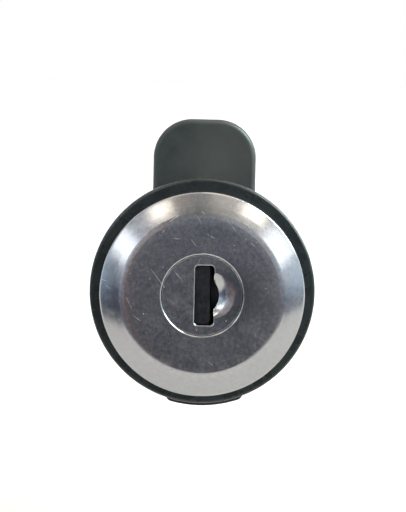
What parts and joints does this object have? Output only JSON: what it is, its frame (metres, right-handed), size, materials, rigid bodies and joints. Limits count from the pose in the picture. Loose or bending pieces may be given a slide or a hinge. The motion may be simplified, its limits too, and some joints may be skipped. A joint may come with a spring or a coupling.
{
  "type": "cam lock",
  "caption": "Wafer cam lock for a sheet-metal door: round stainless face with a shuttered keyway, clip-fixed double-D body, and a flat cam that makes a quarter turn.",
  "frame": {"origin": "on the lock's axis, in the plane where the gasket meets the front of the door panel", "axes": "+Y along the axis from the keyed face to the cam; +Z along the cam when locked; +X to the right seen from the front"},
  "size_m": [0.031, 0.0377, 0.0395],
  "materials": {
    "black_lacquer": "gloss black lacquer over a zinc die casting",
    "stainless": "polished stainless sheet with fine handling scratches",
    "gasket_rubber": "matt black",
    "spring_steel": "black-oxide spring steel, lightly oiled",
    "zinc": "bare zinc die casting",
    "dark_steel": "dark blued sheet",
    "steel_wire": "drawn stainless wire",
    "zinc_plate": "bright zinc plate",
    "cam_black": "satin black coat, worn grey on the corners",
    "brass": "stamped, as cut"
  },
  "bodies": {
    "lock_body": {"housing": "black_lacquer", "face_cap": "stainless", "panel_gasket": "gasket_rubber"},
    "clip": {"mounting_clip": "spring_steel"},
    "turning_plug": {"plug": "zinc", "plug_cap": "stainless", "shutter_pin": "steel_wire", "shutter_spring": "steel_wire", "wafer_spring_1": "steel_wire", "wafer_spring_2": "steel_wire", "wafer_spring_3": "steel_wire", "wafer_spring_4": "steel_wire", "wafer_spring_5": "steel_wire", "wafer_spring_6": "steel_wire", "wafer_spring_7": "steel_wire", "stop_washer": "zinc_plate", "cam": "cam_black", "flat_washer": "zinc_plate", "lock_washer": "zinc_plate", "cam_screw": "zinc_plate"},
    "shutter": {"dust_shutter": "dark_steel"},
    "wafer_1": {"wafer_1": "brass"},
    "wafer_2": {"wafer_2": "brass"},
    "wafer_3": {"wafer_3": "brass"},
    "wafer_4": {"wafer_4": "brass"},
    "wafer_5": {"wafer_5": "brass"},
    "wafer_6": {"wafer_6": "brass"},
    "wafer_7": {"wafer_7": "brass"}
  },
  "joints": [
    {"name": "plug_turn", "type": "hinge", "parent": "lock_body", "child": "turning_plug", "pos_m": [0, 0, 0], "axis": [0, 1, 0], "range_deg": [0, 90]},
    {"name": "shutter_swing", "type": "hinge", "parent": "turning_plug", "child": "shutter", "pos_m": [-0.00205, -0.0066, 0], "axis": [0, 0, 1], "range_deg": [0, 75], "stiffness_Nm_per_rad": 0.0002, "springref_deg": -17.19, "deforming": ["shutter_spring"]},
    {"name": "clip_slide", "type": "slide", "parent": "lock_body", "child": "clip", "axis": [0, 0, -1], "range_m": [0, 0.022]},
    {"name": "wafer_1_slide", "type": "slide", "parent": "turning_plug", "child": "wafer_1", "axis": [0, 0, -1], "range_m": [-0.0009, 0], "stiffness_N_per_m": 100, "springref_m": -0.0015, "deforming": ["wafer_spring_1"]},
    {"name": "wafer_2_slide", "type": "slide", "parent": "turning_plug", "child": "wafer_2", "axis": [0, 0, -1], "range_m": [-0.0009, 0], "stiffness_N_per_m": 100, "springref_m": -0.0015, "deforming": ["wafer_spring_2"]},
    {"name": "wafer_3_slide", "type": "slide", "parent": "turning_plug", "child": "wafer_3", "axis": [0, 0, -1], "range_m": [-0.0009, 0], "stiffness_N_per_m": 100, "springref_m": -0.0015, "deforming": ["wafer_spring_3"]},
    {"name": "wafer_4_slide", "type": "slide", "parent": "turning_plug", "child": "wafer_4", "axis": [0, 0, -1], "range_m": [-0.0009, 0], "stiffness_N_per_m": 100, "springref_m": -0.0015, "deforming": ["wafer_spring_4"]},
    {"name": "wafer_5_slide", "type": "slide", "parent": "turning_plug", "child": "wafer_5", "axis": [0, 0, -1], "range_m": [-0.0009, 0], "stiffness_N_per_m": 100, "springref_m": -0.0015, "deforming": ["wafer_spring_5"]},
    {"name": "wafer_6_slide", "type": "slide", "parent": "turning_plug", "child": "wafer_6", "axis": [0, 0, -1], "range_m": [-0.0009, 0], "stiffness_N_per_m": 100, "springref_m": -0.0015, "deforming": ["wafer_spring_6"]},
    {"name": "wafer_7_slide", "type": "slide", "parent": "turning_plug", "child": "wafer_7", "axis": [0, 0, -1], "range_m": [-0.0009, 0], "stiffness_N_per_m": 100, "springref_m": -0.0015, "deforming": ["wafer_spring_7"]}
  ]
}
